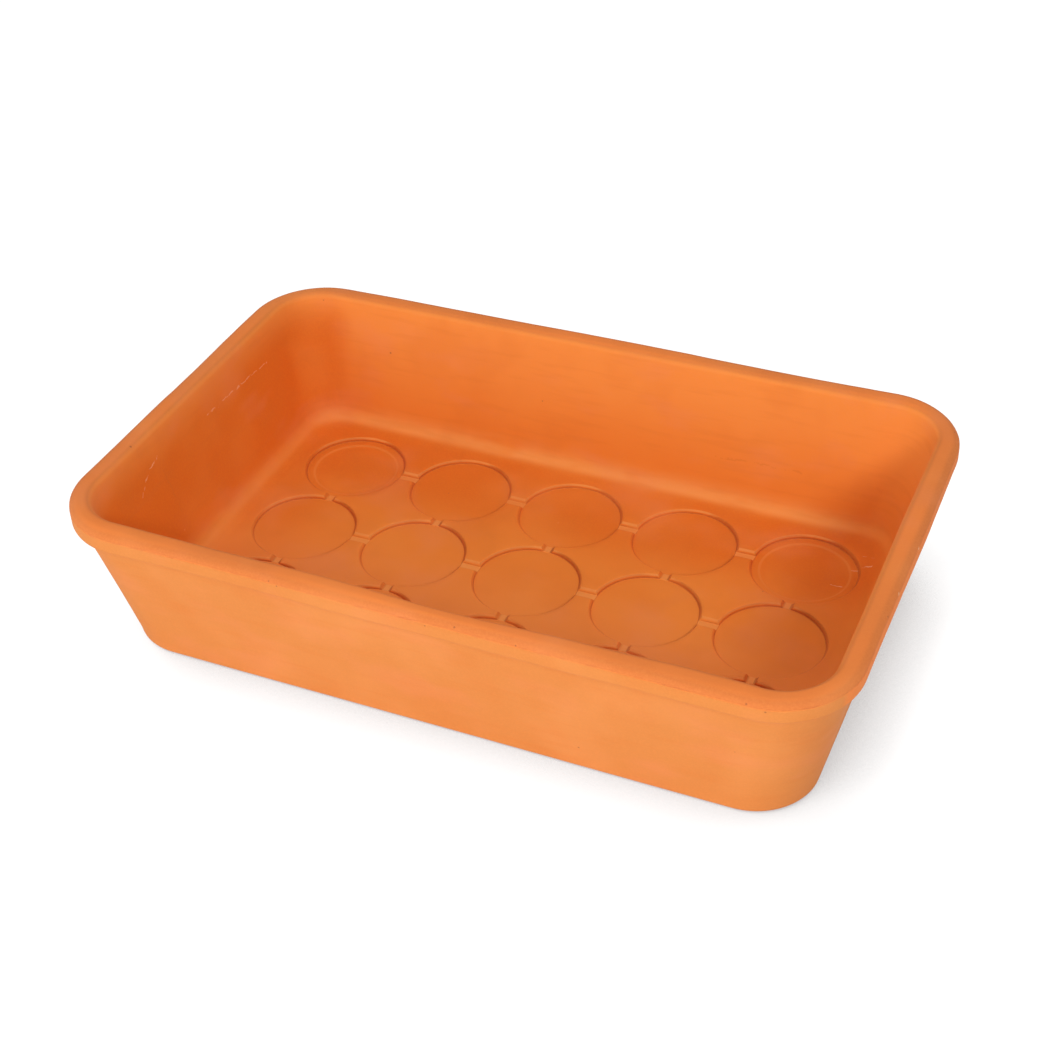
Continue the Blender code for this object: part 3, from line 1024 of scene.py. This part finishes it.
# Soft studio lamps: where each stands, how wide it is and its power in watts; all face the tray
lamps = {
    "keySoftbox": {"place": (0.888, -0.986, 0.925), "size": 0.42, "power": 9.2},
    "lowSoftbox": {"place": (-0.5, -1.5, 0.35), "size": 1.0, "power": 13.7},
    "topSoftbox": {"place": (0.0, 0.1, 1.7), "size": 1.3, "power": 5.2},
}
lampAim = (0.0, 0.0, 0.03)
roomLight = 0.40


def addLamps():
    for name, setup in lamps.items():
        data = bpy.data.lights.new(name, "AREA")
        data.shape = "DISK"
        data.size = setup["size"]
        data.energy = setup["power"]
        lamp = newObject(name, data)
        place = Vector(setup["place"])
        aim = (Vector(lampAim) - place).to_track_quat("-Z", "Y")
        lamp.matrix_world = Matrix.Translation(place) @ aim.to_matrix().to_4x4()


# White where the camera or a reflection looks past everything, a plain soft room light otherwise
def addRoom():
    world = bpy.data.worlds.new("studio")
    bpy.context.scene.world = world
    world.use_nodes = True
    tree = world.node_tree
    background = tree.nodes["Background"]
    background.inputs["Color"].default_value = (1.0, 1.0, 1.0, 1.0)
    seen = lookedAt(tree)
    tree.links.new(remap(tree, seen, 0.0, 1.0, roomLight, 1.0, "LINEAR"), background.inputs["Strength"])


def lookedAt(tree):
    path = addNode(tree, "ShaderNodeLightPath").outputs
    straight = maths(tree, "MAXIMUM", path["Is Camera Ray"], path["Is Glossy Ray"])
    return maths(tree, "MAXIMUM", straight, path["Is Transmission Ray"])


# The floor lights the tray as a pale floor would. Looked at, it is lifted to a white backdrop that keeps
# the tray's shadow, deepened where the tray stands close over it.
floorSetup = {
    "size": 6.0, "colour": (0.80, 0.80, 0.80, 1.0),
    "seenColour": (0.15, 0.15, 0.15, 1.0), "lift": 0.97,
    "contactReach": 0.050, "contactFacing": (-0.24, -0.17, 0.96),    # the shadow leans to the back right
    "contactDark": 0.44, "contactFrom": 0.25, "contactTo": 0.60, "contactSamples": 4,
}


def addFloor():
    half = floorSetup["size"] / 2
    mesh = bpy.data.meshes.new("studioFloor")
    corners = [(-half, -half, 0), (half, -half, 0), (half, half, 0), (-half, half, 0)]
    mesh.from_pydata(corners, [], [(0, 1, 2, 3)])
    studioFloor = newObject("studioFloor", mesh)
    material = bpy.data.materials.new("paleFloor")
    material.use_nodes = True
    tree = material.node_tree
    shader = tree.nodes["Principled BSDF"]
    seen = lookedAt(tree)
    colour = mixColours(tree, seen, floorSetup["colour"], floorSetup["seenColour"])
    tree.links.new(colour, shader.inputs["Base Color"])
    shader.inputs["Roughness"].default_value = 1.0
    shader.inputs["Specular IOR Level"].default_value = 0.0
    shader.inputs["Emission Color"].default_value = (1.0, 1.0, 1.0, 1.0)
    contact = addNode(tree, "ShaderNodeAmbientOcclusion", samples=floorSetup["contactSamples"])
    contact.inputs["Distance"].default_value = floorSetup["contactReach"]
    facing = vectorMaths(tree, "NORMALIZE", floorSetup["contactFacing"])
    tree.links.new(facing, contact.inputs["Normal"])
    glow = remap(tree, contact.outputs["AO"], floorSetup["contactFrom"], floorSetup["contactTo"],
                 floorSetup["lift"] * floorSetup["contactDark"], floorSetup["lift"], "LINEAR")
    tree.links.new(times(tree, seen, glow), shader.inputs["Emission Strength"])
    mesh.materials.append(material)


addCamera()
print("camera set")
seedTray()
addFloor()
addLamps()
addRoom()
bpy.context.scene.view_settings.view_transform = "Standard"
print("studio set")
